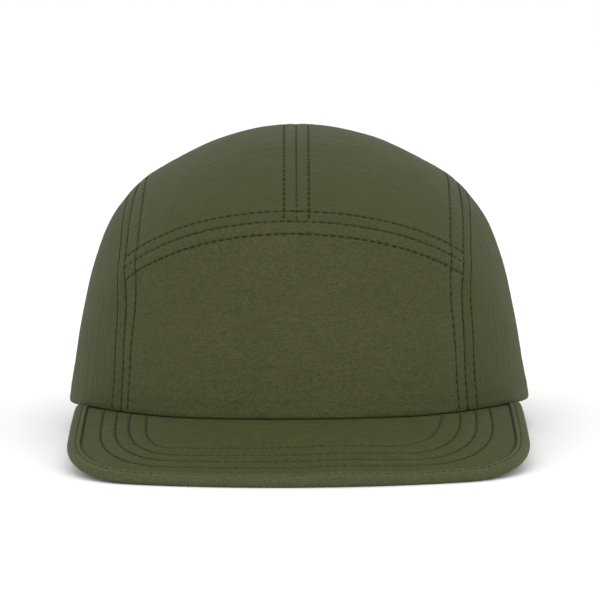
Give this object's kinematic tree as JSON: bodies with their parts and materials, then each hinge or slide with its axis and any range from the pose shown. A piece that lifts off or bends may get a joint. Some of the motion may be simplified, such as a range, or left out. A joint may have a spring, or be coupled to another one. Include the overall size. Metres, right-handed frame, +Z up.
{
  "type": "five panel cap",
  "caption": "Soft cloth cap with an arched front panel, a low rounded crown, a short nearly flat bound brim and a strap across the opening at the back.",
  "frame": {"origin": "middle of the cap's footprint, on the surface that it rests on", "axes": "+Z up, the brim and front panel face -Y, +X is the wearer's left"},
  "size_m": [0.177, 0.2508, 0.1163],
  "materials": {
    "crown_cloth": "matte crinkled nylon",
    "top_cloth": "matte crinkled nylon",
    "brim_cloth": "matte smooth nylon",
    "strap_webbing": "matte woven webbing"
  },
  "bodies": {
    "root": {"front_panel": "crown_cloth", "top_panel_left": "top_cloth", "top_panel_right": "top_cloth", "side_panel_left": "crown_cloth", "side_panel_right": "crown_cloth", "brim": "brim_cloth", "brim_binding": "brim_cloth", "back_strap": "strap_webbing"}
  },
  "joints": []
}
